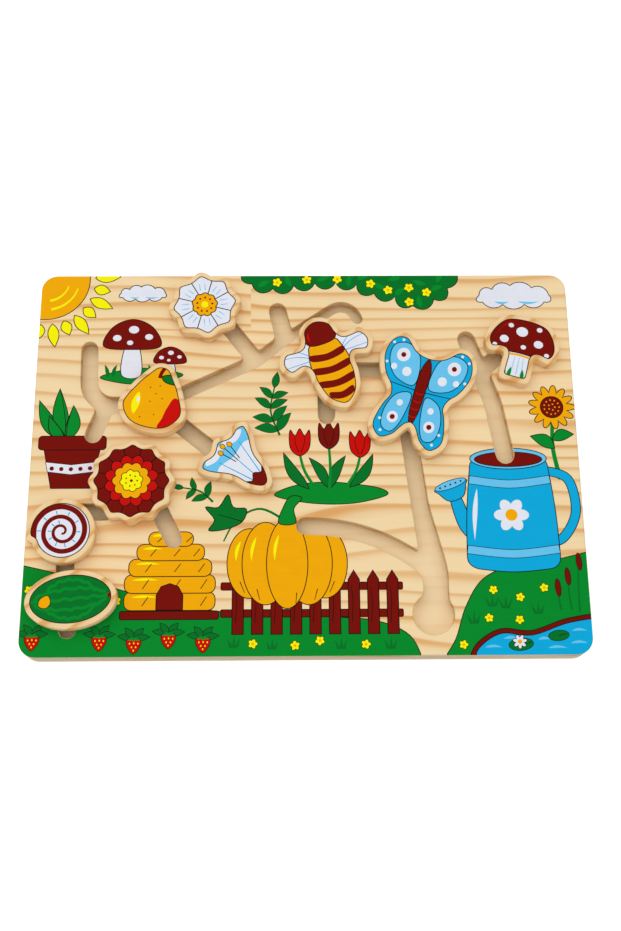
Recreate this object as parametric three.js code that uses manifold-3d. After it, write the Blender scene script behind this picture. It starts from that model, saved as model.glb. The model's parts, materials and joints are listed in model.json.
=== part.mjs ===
// Sliding maze puzzle: a laminated wooden board with routed T-shaped grooves and nine
// captive sliders, each a flat wooden head on a dowel peg that ends in a foot disc.
// Millimetres. X runs along the board, Y away from the player, Z up.
// The origin is the middle of the board's underside.
import * as THREE from 'three';
import { mergeVertices, toCreasedNormals } from 'three/addons/utils/BufferGeometryUtils.js';
import Module from 'manifold-3d';

const wasm = await Module();
wasm.setup();

// Board
const boardLength = 300;
const boardDepth = 219;
const boardCornerRadius = 12;
const boardEdgeRound = 1;
const topPlateThickness = 5;
const channelPlateThickness = 3.6;
const backPlateThickness = 6.4;

// Peg and foot of every slider, and the grooves that they run in
const pegDiameter = 5.6;
const pegSideClearance = 1.9;
const footDiameter = 16;
const footThickness = 2.6;
const footSideClearance = 1;
const footFloorGap = 0.3;
const pocketDiameter = 22.4;
const cutOverlap = 0.1;

// Heads of the sliders, whose sizes are told as shares of a middling one
const headPerBoardLength = 0.1367;
const headPerBoardDepth = 0.1872;
const headThickness = 7.2;
const headEdgeRound = 1.6;
const headBoardGap = 0.4;
const pegDepthInHead = 4.4;
const seatClearance = 0.3;

// Smoothness of the curves
const bendSteps = 6;
const slotEndSides = 24;
const cornerSteps = 8;
const headOutlineSteps = 54;
const roundSteps = 2;
const pegSides = 20;
const footSides = 24;
const pocketSides = 32;
const creaseAngle = THREE.MathUtils.degToRad(35);

// Levels and widths that follow from the sizes above
const channelFloor = backPlateThickness;
const channelRoof = channelFloor + channelPlateThickness;
const boardTop = channelRoof + topPlateThickness;
const headBottom = boardTop + headBoardGap;
const footBottom = channelFloor + footFloorGap;
const slotWidth = pegDiameter + 2 * pegSideClearance;
const channelWidth = footDiameter + 2 * footSideClearance;
const socketDiameter = pegDiameter + 2 * seatClearance;
const headSize = Math.min(boardLength * headPerBoardLength, boardDepth * headPerBoardDepth);

const at = (x, y) => new THREE.Vector2(x, y);

// A place on the board, in percent of its half length and half depth from the middle
const place = (x, y) => at(x * boardLength / 200, y * boardDepth / 200);

// Places that several runs of the maze, or a run and a slider, share
const crossing = place(-55.33, 27.4);
const hub = place(-18.13, 51.6);
const leftBend = place(-79.93, 27.76);
const leftFork = leftBend.clone().lerp(crossing, 0.28);
const daisyStop = place(-37, 80.55);
const daisyBend = place(-27.73, 69.13);
const daisyFoot = hub.clone().lerp(daisyBend, 0.05);
const upperFork = place(-9.85, 60.92);
const bellStop = place(-25.47, -6.48);
const marigoldStop = place(-62.27, -15.16);
const sideTop = place(-86.87, -28.58);
const sideEnd = place(-83.27, -86.94);
const snailStop = sideTop.clone().lerp(sideEnd, 0.2);
const melonStop = sideTop.clone().lerp(sideEnd, 0.755);
const beeStop = place(7.93, 46.58);
const rightFork = place(65.31, 45.13);
const mushroomStop = place(77.93, 59.99);
const pocketCentre = place(44.67, -80.18);
const branchFoot = place(38.83, -53.06);
const stemBend = place(41.33, -26.48);
const stemTop = beeStop.clone().lerp(rightFork, 0.472);
const butterflyStop = stemBend.clone().lerp(stemTop, 0.746);

// Runs of the three separate mazes: the width of the slot as a share of the usual one, the radius of the
// bends as a share of a middling head, and the points that the centreline goes through
const runs = [
  // Upper left
  { slot: 1, bend: 0.341, through: [place(-80.47, 58.36), leftBend, crossing] },
  { slot: 1, bend: 0, through: [leftFork, place(-77.67, 11.51)] },
  { slot: 0.84, bend: 0, through: [crossing, hub] },
  { slot: 1, bend: 0, through: [crossing, bellStop] },
  { slot: 1, bend: 0.195, through: [daisyFoot, daisyBend, daisyStop] },
  { slot: 0.8, bend: 0, through: [hub, upperFork] },
  { slot: 1.05, bend: 0, through: [place(-7.78, 65.57), place(-10.16, 79.68)] },
  { slot: 0.66, bend: 0.22, through: [upperFork, place(16, 85.75), place(20.11, 74.67)] },
  // Lower left
  {
    slot: 1,
    bend: 0.122,
    through: [
      place(-47.13, -43.01),
      at(place(-57.2, 0).x, marigoldStop.y),
      at(place(-66, 0).x, marigoldStop.y),
      at(place(-70, 0).x, sideTop.y),
      sideTop,
      sideEnd,
    ],
  },
  // Right
  { slot: 1, bend: 0.976, through: [place(47.13, -76.71), place(47.27, -58.45), stemBend, stemTop] },
  { slot: 1, bend: 0.293, through: [place(44.47, -73.06), place(44.67, -59.68), branchFoot] },
  { slot: 1, bend: 2.317, through: [branchFoot, place(21.47, -37.08), place(-0.47, -36.12)] },
  { slot: 1, bend: 0, through: [stemBend, place(43.4, -48.86)] },
  { slot: 1, bend: 0.195, through: [beeStop, rightFork, mushroomStop] },
  { slot: 1, bend: 0, through: [beeStop, at(beeStop.x, place(0, 21.19).y)] },
  { slot: 1.06, bend: 1.463, through: [place(60.87, 63.29), place(69.67, 28.31), place(73.07, 0)] },
];

// Right half of each mirrored head, from bottom to top, as shares of its half width and height
const pearHalf = [[0, -1], [0.64, -0.86], [1, -0.36], [0.76, 0.26], [0.5, 0.64], [0.2, 0.96]];
const bellHalf = [
  [0.14, -1], [0.42, -0.62], [0.56, -0.1], [0.9, 0.42], [0.97, 0.74], [0.66, 0.9], [0.36, 0.84], [0, 1],
];
const beeHalf = [
  [0, -1], [0.34, -0.78], [0.48, -0.36], [0.52, -0.02], [0.84, -0.06], [1, 0.22], [0.84, 0.5],
  [0.46, 0.52], [0.34, 0.84], [0, 1],
];
const butterflyHalf = [
  [0, -0.62], [0.2, -0.86], [0.52, -1], [0.8, -0.78], [0.74, -0.34], [0.64, -0.1], [0.86, 0.16], [1, 0.56],
  [0.86, 0.9], [0.54, 0.98], [0.22, 0.76], [0, 0.72],
];
const mushroomHalf = [
  [0, -1], [0.38, -0.95], [0.42, -0.55], [0.44, -0.22], [0.82, -0.26], [1, 0.04], [0.9, 0.48], [0.54, 0.87],
];

// Sliders: outline of the head, its size as shares of a middling head, its turn, its shift from the peg as
// shares of a middling head, and the place of the peg
const sliders = [
  {
    name: 'slider_1', outline: scalloped(8, 0.06), width: 1, height: 1,
    tilt: 8, shift: at(-0.0146, -0.0146), peg: daisyStop, colour: 0xe1e4f0,
  },
  {
    name: 'slider_2', outline: mirrored(pearHalf), width: 0.9268, height: 1.0122,
    tilt: -14, shift: at(0.0171, 0.0439), peg: crossing, colour: 0xf0af0a,
  },
  {
    name: 'slider_3', outline: scalloped(12, 0.045), width: 1.1415, height: 1.1415,
    tilt: 0, shift: at(0, 0.0122), peg: marigoldStop, colour: 0x870f12,
  },
  {
    name: 'slider_4', outline: spiral(0.14), width: 0.9366, height: 0.9366,
    tilt: 200, shift: at(0, 0), peg: snailStop, colour: 0xe1e4f0,
  },
  {
    name: 'slider_5', outline: oval(), width: 1.1707, height: 0.7561,
    tilt: 6, shift: at(0.0878, -0.0195), peg: melonStop, colour: 0x007832,
  },
  {
    name: 'slider_6', outline: mirrored(bellHalf), width: 0.9512, height: 0.9756,
    tilt: 48, shift: at(0.0878, 0.0195), peg: bellStop, colour: 0xb4d7eb,
  },
  {
    name: 'slider_7', outline: mirrored(beeHalf), width: 1.3415, height: 1.3902,
    tilt: 20, shift: at(0.0537, 0.0341), peg: beeStop, colour: 0xf0af0a,
  },
  {
    name: 'slider_8', outline: mirrored(butterflyHalf), width: 1.3415, height: 1.6341,
    tilt: -18, shift: at(0.1946, 0.0829), peg: butterflyStop, colour: 0x46b9eb,
  },
  {
    name: 'slider_9', outline: mirrored(mushroomHalf), width: 1.0244, height: 1.0122,
    tilt: -16, shift: at(0.0951, -0.1266), peg: mushroomStop, colour: 0x8c1216,
  },
];

// Outlines within a square of two by two units, as evenly spread points
function polar(radiusAt) {
  const points = [];
  for (let step = 0; step < headOutlineSteps; step += 1) {
    const share = step / headOutlineSteps;
    const angle = 2 * Math.PI * share;
    points.push(at(Math.cos(angle), Math.sin(angle)).multiplyScalar(radiusAt(angle, share)));
  }
  return points;
}

function oval() {
  return polar(() => 1);
}

function scalloped(petals, waveHeight) {
  return polar((angle) => 1 - waveHeight + waveHeight * Math.cos(petals * angle));
}

function spiral(growth) {
  return polar((angle, share) => 1 - growth + growth * share);
}

function mirrored(half) {
  const right = half.map(([x, y]) => new THREE.Vector3(x, y, 0));
  const left = half.filter(([x]) => x > 0).map(([x, y]) => new THREE.Vector3(-x, y, 0));
  const closed = new THREE.CatmullRomCurve3([...right, ...left.reverse()], true);
  return closed.getSpacedPoints(headOutlineSteps).slice(0, -1);
}

// Solids for cutting and joining
function solidFrom(geometry) {
  geometry.deleteAttribute('normal');
  geometry.deleteAttribute('uv');
  const merged = mergeVertices(geometry);
  const vertProperties = new Float32Array(merged.attributes.position.array);
  const triVerts = new Uint32Array(merged.index.array);
  return new wasm.Manifold(new wasm.Mesh({ numProp: 3, vertProperties, triVerts }));
}

function meshFrom(solid, name, material) {
  const { vertProperties, triVerts } = solid.getMesh();
  const geometry = new THREE.BufferGeometry();
  geometry.setAttribute('position', new THREE.BufferAttribute(vertProperties, 3));
  geometry.setIndex(new THREE.BufferAttribute(triVerts, 1));
  const mesh = new THREE.Mesh(toCreasedNormals(geometry, creaseAngle), material);
  mesh.name = name;
  return mesh;
}

function extruded(shape, bottom, height, curveSegments) {
  const geometry = new THREE.ExtrudeGeometry(shape, { depth: height, bevelEnabled: false, curveSegments });
  return geometry.translate(0, 0, bottom);
}

function cylinder(diameter, sides, bottom, height) {
  const geometry = new THREE.CylinderGeometry(diameter / 2, diameter / 2, height, sides);
  return geometry.rotateX(Math.PI / 2).translate(0, 0, bottom + height / 2);
}

function wood(colour, roughness) {
  return new THREE.MeshStandardMaterial({ color: colour, roughness, metalness: 0 });
}

// Grooves
function stretchesOf({ bend, through }) {
  const radius = bend * headSize;
  const straights = [];
  const bends = [];
  let from = through[0];
  for (let index = 1; index < through.length - 1; index += 1) {
    const corner = through[index];
    const arriving = corner.clone().sub(through[index - 1]).normalize();
    const leaving = through[index + 1].clone().sub(corner).normalize();
    const side = Math.sign(arriving.cross(leaving));
    const turn = Math.acos(arriving.dot(leaving));
    const tangent = radius * Math.tan(turn / 2);
    const before = corner.clone().addScaledVector(arriving, -tangent);
    const inward = at(-arriving.y, arriving.x).multiplyScalar(side);
    const centre = before.clone().addScaledVector(inward, radius);
    straights.push({ from, to: before });
    bends.push({ centre, radius, start: inward.angle() + Math.PI, sweep: side * turn });
    from = corner.clone().addScaledVector(leaving, tangent);
  }
  straights.push({ from, to: through[through.length - 1] });
  return { straights, bends };
}

function straightGeometry({ from, to }, width, bottom, height) {
  const along = to.clone().sub(from);
  const middle = from.clone().lerp(to, 0.5);
  const geometry = new THREE.BoxGeometry(along.length() + 2 * cutOverlap, width, height);
  return geometry.rotateZ(along.angle()).translate(middle.x, middle.y, bottom + height / 2);
}

function bendGeometry({ centre, radius, start, sweep }, width, bottom, height) {
  const outer = radius + width / 2;
  const inner = radius - width / 2;
  const clockwise = sweep < 0;
  const shape = new THREE.Shape();
  shape.absarc(centre.x, centre.y, outer, start, start + sweep, clockwise);
  if (inner > 0) shape.absarc(centre.x, centre.y, inner, start + sweep, start, !clockwise);
  else shape.lineTo(centre.x, centre.y);
  return extruded(shape, bottom, height, bendSteps);
}

function discGeometry(centre, diameter, sides, bottom, height) {
  return cylinder(diameter, sides, bottom, height).translate(centre.x, centre.y, 0);
}

// All the runs, each as wide as widthOf says, and the pocket
function mazeCutter(widthOf, bottom, height) {
  let cutter = solidFrom(discGeometry(pocketCentre, pocketDiameter, pocketSides, bottom, height));
  const cut = (geometry) => {
    cutter = cutter.add(solidFrom(geometry));
  };
  const ends = new Map();
  for (const run of runs) {
    const width = widthOf(run);
    const { straights, bends } = stretchesOf(run);
    straights.forEach((straight) => cut(straightGeometry(straight, width, bottom, height)));
    bends.forEach((bend) => cut(bendGeometry(bend, width, bottom, height)));
    for (const end of [run.through[0], run.through[run.through.length - 1]]) {
      ends.set(end, Math.max(width, ends.get(end) ?? 0));
    }
  }
  ends.forEach((width, end) => cut(discGeometry(end, width, slotEndSides, bottom, height)));
  return cutter;
}

// Plates of the board
function plateShape() {
  const right = boardLength / 2 - boardCornerRadius;
  const back = boardDepth / 2 - boardCornerRadius;
  const quarter = Math.PI / 2;
  const shape = new THREE.Shape();
  shape.absarc(right, back, boardCornerRadius, 0, quarter);
  shape.absarc(-right, back, boardCornerRadius, quarter, 2 * quarter);
  shape.absarc(-right, -back, boardCornerRadius, 2 * quarter, 3 * quarter);
  shape.absarc(right, -back, boardCornerRadius, 3 * quarter, 4 * quarter);
  return shape;
}

function plate(bottom, thickness) {
  return solidFrom(extruded(plateShape(), bottom, thickness, cornerSteps));
}

// A block with both its rims rounded, twice as thick as the plate that is cut from it
function roundedBlock(bottom, thickness) {
  const geometry = new THREE.ExtrudeGeometry(plateShape(), {
    depth: 2 * thickness - 2 * boardEdgeRound,
    bevelThickness: boardEdgeRound,
    bevelSize: boardEdgeRound,
    bevelOffset: -boardEdgeRound,
    bevelSegments: roundSteps,
    curveSegments: cornerSteps,
  });
  return solidFrom(geometry.translate(0, 0, bottom + boardEdgeRound));
}

function slab(bottom, thickness) {
  const geometry = new THREE.BoxGeometry(2 * boardLength, 2 * boardDepth, thickness);
  return solidFrom(geometry.translate(0, 0, bottom + thickness / 2));
}

function topPlate() {
  const block = roundedBlock(channelRoof - topPlateThickness, topPlateThickness);
  const body = block.intersect(slab(channelRoof, 2 * topPlateThickness));
  const cutBottom = channelRoof - topPlateThickness;
  const slots = mazeCutter(({ slot }) => slot * slotWidth, cutBottom, 3 * topPlateThickness);
  return meshFrom(body.subtract(slots), 'top_plate', wood(0xf0d7a5, 0.55));
}

function channelPlate() {
  const cutBottom = channelFloor - channelPlateThickness;
  const channels = mazeCutter(() => channelWidth, cutBottom, 3 * channelPlateThickness);
  const body = plate(channelFloor, channelPlateThickness).subtract(channels);
  return meshFrom(body, 'channel_plate', wood(0xd7be96, 0.7));
}

function backPlate() {
  const block = roundedBlock(0, backPlateThickness);
  const body = block.intersect(slab(-backPlateThickness, 2 * backPlateThickness));
  return meshFrom(body, 'back_plate', wood(0xd7be96, 0.7));
}

// Pieces of a slider, about the axis of its peg
function foot({ name }) {
  const disc = solidFrom(cylinder(footDiameter, footSides, footBottom, footThickness));
  const bore = solidFrom(cylinder(socketDiameter, pegSides, footBottom - footThickness, 3 * footThickness));
  return meshFrom(disc.subtract(bore), `${name}_foot`, wood(0xcdaf82, 0.7));
}

function peg({ name }) {
  const height = headBottom + pegDepthInHead - footBottom;
  const dowel = solidFrom(cylinder(pegDiameter, pegSides, footBottom, height));
  return meshFrom(dowel, `${name}_peg`, wood(0xdcbe8c, 0.65));
}

function head({ name, outline, width, height, tilt, shift, colour }) {
  const halfWidth = width * headSize / 2;
  const halfHeight = height * headSize / 2;
  const scaled = outline.map(({ x, y }) => at(x * halfWidth, y * halfHeight));
  const geometry = new THREE.ExtrudeGeometry(new THREE.Shape(scaled), {
    depth: headThickness - 2 * headEdgeRound,
    bevelThickness: headEdgeRound,
    bevelSize: headEdgeRound,
    bevelOffset: -headEdgeRound,
    bevelSegments: roundSteps,
  });
  geometry.rotateZ(THREE.MathUtils.degToRad(tilt));
  geometry.translate(shift.x * headSize, shift.y * headSize, headBottom + headEdgeRound);
  const socketDepth = pegDepthInHead + seatClearance;
  const socket = cylinder(socketDiameter, pegSides, headBottom - socketDepth, 2 * socketDepth);
  return meshFrom(solidFrom(geometry).subtract(solidFrom(socket)), `${name}_head`, wood(colour, 0.45));
}

function slider(design) {
  const group = new THREE.Group();
  group.position.set(design.peg.x, design.peg.y, 0);
  group.add(foot(design), peg(design), head(design));
  return group;
}

const puzzle = new THREE.Group();
puzzle.add(backPlate(), channelPlate(), topPlate());
puzzle.add(...sliders.map(slider));

export default puzzle;
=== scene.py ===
"""Sliding maze puzzle: the looks of its printed board and nine sliders, built around the CAD frame.

The tables and drawing functions use millimetres; Blender objects are in metres.
Points on a printed face are complex numbers, with the real part along X and the imaginary part along Y.
"""

import cmath
import json
import math

import bmesh
import bpy
from bpy.props import FloatProperty, FloatVectorProperty, PointerProperty
from mathutils import Matrix, Vector
from mathutils.geometry import delaunay_2d_cdt


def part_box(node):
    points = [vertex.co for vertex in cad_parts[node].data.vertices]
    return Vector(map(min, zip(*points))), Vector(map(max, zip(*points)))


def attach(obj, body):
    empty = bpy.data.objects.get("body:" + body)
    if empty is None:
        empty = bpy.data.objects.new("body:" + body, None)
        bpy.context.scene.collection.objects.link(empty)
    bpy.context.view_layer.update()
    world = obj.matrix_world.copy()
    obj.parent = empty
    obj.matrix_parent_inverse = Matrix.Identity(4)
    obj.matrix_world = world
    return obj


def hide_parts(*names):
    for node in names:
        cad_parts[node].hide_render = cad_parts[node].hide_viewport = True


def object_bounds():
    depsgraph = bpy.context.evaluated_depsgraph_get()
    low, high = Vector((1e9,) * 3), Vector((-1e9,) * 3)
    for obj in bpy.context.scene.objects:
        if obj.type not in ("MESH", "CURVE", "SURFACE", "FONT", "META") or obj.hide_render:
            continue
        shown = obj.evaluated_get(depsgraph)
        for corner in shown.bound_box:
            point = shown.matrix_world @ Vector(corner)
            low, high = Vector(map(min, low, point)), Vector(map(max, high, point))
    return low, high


bl_info = {
    "name": "Sliding maze puzzle",
    "version": (1, 0, 0),
    "blender": (4, 5, 0),
    "location": "View3D > Sidebar > Puzzle",
    "description": "Builds the printed board, the sliders and the stage of a sliding maze puzzle",
    "category": "Object",
}

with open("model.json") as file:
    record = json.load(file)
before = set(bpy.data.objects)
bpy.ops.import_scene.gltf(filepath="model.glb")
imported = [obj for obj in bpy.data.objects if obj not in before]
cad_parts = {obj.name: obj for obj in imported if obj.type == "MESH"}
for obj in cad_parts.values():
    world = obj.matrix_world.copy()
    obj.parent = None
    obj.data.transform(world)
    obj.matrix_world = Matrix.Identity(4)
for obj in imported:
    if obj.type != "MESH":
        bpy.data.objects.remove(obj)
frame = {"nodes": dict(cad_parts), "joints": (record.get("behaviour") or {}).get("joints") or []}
CAD_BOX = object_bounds()

MM = 0.001
FULL_TURN = 2 * math.pi

# Width and height in pixels of the picture that the focal length belongs to
IMAGE_SIZE = (621, 931)

# Blind hole for the peg in the underside of a head, in millimetres
SOCKET_DIAMETER = 6.2
SOCKET_DEPTH = 4.7
SOCKET_SIDES = 24

# Millimetres above the underside of a CAD head at which its wall is upright, and a width beyond all heads
HEAD_WALL = 1.6
GROUND_WIDTH = 110

# Distances in millimetres: neighbours too close to give a direction, vertices that are joined,
# points that the triangulation takes as one, and ends of edges that count as lying on a level
NEAR = 0.05
JOINED = 0.008
SNAP = 0.0005
ON_LEVEL = 0.05

# Largest upward share of the normal of an upright face
UPRIGHT = 0.1

# Pen widths of the finer outlines, in millimetres
HAIR = 0.3
FINE = 0.35
THIN = 0.4


def linear(red, green, blue):
    """Scene colour of an 8-bit screen colour, by the sRGB curve."""
    shares = [value / 255 for value in (red, green, blue)]
    return tuple(s / 12.92 if s <= 0.04045 else ((s + 0.055) / 1.055) ** 2.4 for s in shares)


# Settings


def ink_property(name, description, default):
    return FloatVectorProperty(
        name=name, description=description, subtype="COLOR", min=0, max=1, default=linear(*default)
    )


def length_property(name, description, default):
    return FloatProperty(
        name=name, description=description, subtype="DISTANCE", unit="LENGTH", min=0, default=default * MM
    )


def place_property(name, description, default):
    return FloatVectorProperty(
        name=name, description=description, subtype="TRANSLATION", unit="LENGTH", default=default
    )


def angle_property(name, description, degrees):
    return FloatProperty(name=name, description=description, subtype="ANGLE", default=math.radians(degrees))


def number_property(name, description, default, unit="NONE"):
    return FloatProperty(name=name, description=description, unit=unit, default=default)


class PUZZLE_PG_inks(bpy.types.PropertyGroup):
    """Colours of the printing inks."""

    leaf: ink_property("Leaf green", "Dark green of hedges and leaves", (0, 114, 38))
    grass: ink_property("Grass green", "Bright green of the ground and stems", (0, 137, 42))
    maroon: ink_property("Maroon", "Brownish red of pots, caps and fences", (119, 12, 2))
    amber: ink_property("Amber", "Warm yellow of the pumpkin, the hive and the bee", (243, 171, 0))
    sky: ink_property("Sky blue", "Strong blue of the pond and the can", (8, 169, 221))
    pale: ink_property("Pale blue", "Lighter blue of ripples and wings", (104, 196, 238))
    white: ink_property("White", "Cool white of petals and spots", (229, 232, 242))
    yellow: ink_property("Yellow", "Bright yellow of the small blossoms", (250, 242, 4))
    red: ink_property("Red", "Clear red of tulips and of the blush of fruit", (202, 8, 2))
    line: ink_property("Line", "Near black of the drawn outlines", (20, 12, 8))


class PUZZLE_PG_wood(bpy.types.PropertyGroup):
    """Colours and grain of the bare wood."""

    early: ink_property("Early wood", "Pale wood between the growth lines", (245, 219, 171))
    late: ink_property("Late wood", "Darker wood of the growth lines", (223, 166, 97))
    rim: ink_property("Head wood", "Pale wood of the heads", (243, 211, 160))
    # The hidden plates' wood is paler than the face wood, partly as painted light that lifts the shade on
    # the floors and undercuts of the grooves
    lit_core_early: ink_property("Core early wood", "Pale wood of the hidden plates", (250, 227, 183))
    lit_core_late: ink_property("Core late wood", "Growth lines of the hidden plates", (237, 202, 149))
    dowel: ink_property("Dowel", "Wood of the pegs and feet", (226, 198, 150))
    ring_spacing: length_property("Ring spacing", "Usual distance between two growth lines", 8.6)


class PUZZLE_PG_sizes(bpy.types.PropertyGroup):
    """Sizes that the CAD part leaves plain."""

    board_corner: length_property("Board corner", "Radius of the corners of the board", 9.0)
    board_round: length_property("Board edge", "Radius along the upper and lower edges of the board", 1.0)
    lip_round: length_property("Slot lip", "Radius along the lips of the slots", 0.5)
    head_round: length_property("Head edge", "Radius along the edges of the heads", 0.9)
    border: length_property("Border", "Bare rim around the print of a head", 2.7)
    line_width: length_property("Line width", "Width of the drawn outlines", 0.5)


class PUZZLE_PG_stage(bpy.types.PropertyGroup):
    """Floor, light and camera."""

    floor: ink_property("Floor", "Colour of the floor", (250, 250, 250))
    floor_glow: number_property("Floor glow", "Light that the floor gives off", 0.4)
    elevation: angle_property("Elevation", "Angle of the camera above the floor", 72)
    yaw: angle_property("Yaw", "Turn of the board under the camera", 2.22)
    roll: angle_property("Roll", "Turn of the camera about its own axis", -1.88)
    position: place_property("Camera position", "Place of the camera", (-0.0051, -0.2091, 0.642))
    focal_pixels: number_property("Focal length", "Focal length in pixels of the picture", 1208.2)
    key_power: number_property("Key light", "Power of the key light", 7.3, "POWER")
    key_size: length_property("Key light size", "Side of the key light", 1500)
    key_place: place_property("Key light place", "Place of the key light", (-0.35, 0.3, 1.25))
    fill_power: number_property("Fill light", "Power of the fill light", 2.3, "POWER")
    fill_size: length_property("Fill light size", "Side of the fill light", 1200)
    fill_place: place_property("Fill light place", "Place of the fill light", (0.5, -0.6, 0.9))
    ambient: number_property("Ambient light", "Strength of the light from all around", 0.59)


class PUZZLE_PG_settings(bpy.types.PropertyGroup):
    """All settings of the puzzle."""

    inks: PointerProperty(type=PUZZLE_PG_inks)
    wood: PointerProperty(type=PUZZLE_PG_wood)
    sizes: PointerProperty(type=PUZZLE_PG_sizes)
    stage: PointerProperty(type=PUZZLE_PG_stage)


INK_NAMES = tuple(PUZZLE_PG_inks.__annotations__)
BARE = "bare"


# Outlines


def polar(reach, degrees):
    return cmath.rect(reach, math.radians(degrees))


def circle(count, radius=1.0, shift=0.0):
    """Points spread evenly around the origin, moved on by a share of their distance."""
    return [cmath.rect(radius, FULL_TURN * (step + shift) / count) for step in range(count)]


def sided(points, side):
    """The same points for side 1, and their mirror image for side -1."""
    return [complex(side * point.real, point.imag) for point in points]


def symmetric(half):
    """A closed outline from one half, whose points on the axis of symmetry stand only once."""
    return half + sided([point for point in reversed(half) if point.real], -1)


def pairs(points):
    """Neighbours along a closed outline."""
    return zip(points, points[1:] + points[:1])


def smooth(points, steps=6, closed=True):
    """Points of a Catmull-Rom curve through the given ones."""
    if closed:
        around = points[-1:] + points + points[:2]
    else:
        around = points[:1] + points + points[-1:]
    curve = []
    for a, b, c, d in zip(around, around[1:], around[2:], around[3:]):
        slope = (c - a) / 2
        bend = (2 * a - 5 * b + 4 * c - d) / 2
        twist = (3 * b - a - 3 * c + d) / 2
        for step in range(steps):
            share = step / steps
            curve.append(b + slope * share + bend * share**2 + twist * share**3)
    return curve if closed else curve + points[-1:]


def area_of(points):
    """Area within a closed outline, positive if it runs anticlockwise."""
    return sum((start.conjugate() * end).imag for start, end in pairs(points)) / 2


def anticlockwise(points):
    return points if area_of(points) > 0 else points[::-1]


def even(points, spacing):
    """A closed outline with its points spread evenly."""
    lengths = [abs(end - start) for start, end in pairs(points)]
    total = sum(lengths)
    count = round(total / spacing)
    spread = []
    index = 0
    passed = 0.0
    for step in range(count):
        target = total * step / count
        while passed + lengths[index] < target:
            passed += lengths[index]
            index += 1
        share = (target - passed) / lengths[index]
        spread.append(points[index] + (points[(index + 1) % len(points)] - points[index]) * share)
    return spread


def relaxed(points, rounds):
    """A closed outline with its sharp corners softened."""
    for _ in range(rounds):
        points = [
            (points[index - 1] + 2 * point + points[(index + 1) % len(points)]) / 4
            for index, point in enumerate(points)
        ]
    return points


def outward(points):
    """For each point of an anticlockwise outline, the step outwards that moves both its edges by one."""
    turned_back = 0.2
    least_spread = 0.6
    count = len(points)
    steps = []
    for index, point in enumerate(points):
        before, after = index - 1, index + 1
        while abs(point - points[before % count]) < NEAR:
            before -= 1
        while abs(points[after % count] - point) < NEAR:
            after += 1
        arriving = point - points[before % count]
        leaving = points[after % count] - point
        arriving /= abs(arriving)
        leaving /= abs(leaving)
        middle = arriving + leaving
        if abs(middle) < turned_back:
            middle = arriving
        middle /= abs(middle)
        spread = max((middle * arriving.conjugate()).real, least_spread)
        steps.append(-1j * middle / spread)
    return steps


def grown(points, distance):
    """An anticlockwise outline moved outwards by a distance."""
    return [point + step * distance for point, step in zip(points, outward(points))]


def untangled(points):
    """A closed outline without the small knots that moving it may leave at sharp corners."""
    reach = 14
    parallel = 1e-9
    count = len(points)
    clean = []
    index = 0
    while index < count:
        start, end = points[index], points[(index + 1) % count]
        clean.append(start)
        skip = 1
        for ahead in range(2, reach):
            first, second = points[(index + ahead) % count], points[(index + ahead + 1) % count]
            turn = ((end - start).conjugate() * (second - first)).imag
            if abs(turn) < parallel:
                continue
            along = ((first - start).conjugate() * (second - first)).imag / turn
            beside = ((first - start).conjugate() * (end - start)).imag / turn
            if 0 < along < 1 and 0 < beside < 1:
                clean.append(start + (end - start) * along)
                skip = ahead + 1
        index += skip
    return clean


def oval(centre, width, height=None, turn=0, steps=36):
    """An ellipse, turned by degrees."""
    height = width if height is None else height
    around = polar(1, turn)
    return [centre + around * complex(width / 2 * p.real, height / 2 * p.imag) for p in circle(steps)]


def blossom(centre, radius, petals, depth, turn=0):
    """A flower seen from above: a circle whose edge swells out into petals."""
    petal_steps = 10
    steps = petals * petal_steps
    points = []
    for step in range(steps):
        angle = FULL_TURN * step / steps
        swell = 1 - depth + depth * abs(math.cos(petals * angle / 2))
        points.append(centre + cmath.rect(radius * swell, angle + math.radians(turn)))
    return points


def leaf(base, tip, width, bow=0.0):
    """A pointed leaf from base to tip, widest a little before its middle, that bows sideways."""
    fullness = 0.85
    steps = 12
    along = tip - base
    side = 1j * along / abs(along)
    right = []
    left = []
    for step in range(1, steps):
        share = step / steps
        middle = base + along * share + side * bow * math.sin(math.pi * share)
        half = width / 2 * math.sin(math.pi * share**fullness)
        right.append(middle - side * half)
        left.append(middle + side * half)
    return [base] + right + [tip] + left[::-1]


def ribbon(points, width, end_width=None, steps=6):
    """A stroke along a curve through the points, which may change its width."""
    end_width = width if end_width is None else end_width
    path = smooth(points, steps, closed=False)
    right = []
    left = []
    for index, point in enumerate(path):
        ahead = path[min(index + 1, len(path) - 1)] - path[max(index - 1, 0)]
        side = 1j * ahead / abs(ahead)
        half = (width + (end_width - width) * index / (len(path) - 1)) / 2
        right.append(point - side * half)
        left.append(point + side * half)
    return right + left[::-1]


def bumpy(points, height, closed=False):
    """A line of round bumps, one on the right-hand side of each stretch between two points."""
    steps = 8
    steepness = 0.7
    line = []
    for start, end in pairs(points) if closed else zip(points, points[1:]):
        along = end - start
        side = -1j * along / abs(along)
        for step in range(steps):
            share = step / steps
            line.append(start + along * share + side * height * math.sin(math.pi * share) ** steepness)
    if not closed:
        line.append(points[-1])
    return line


def block(left, bottom, right, top, corner, steps=4):
    """An upright rectangle with round corners."""
    left, bottom, right, top = left + corner, bottom + corner, right - corner, top - corner
    centres = (complex(right, top), complex(left, top), complex(left, bottom), complex(right, bottom))
    points = []
    for quarter, centre in enumerate(centres):
        points += [centre + polar(corner, 90 * (quarter + step / steps)) for step in range(steps + 1)]
    return points


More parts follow.
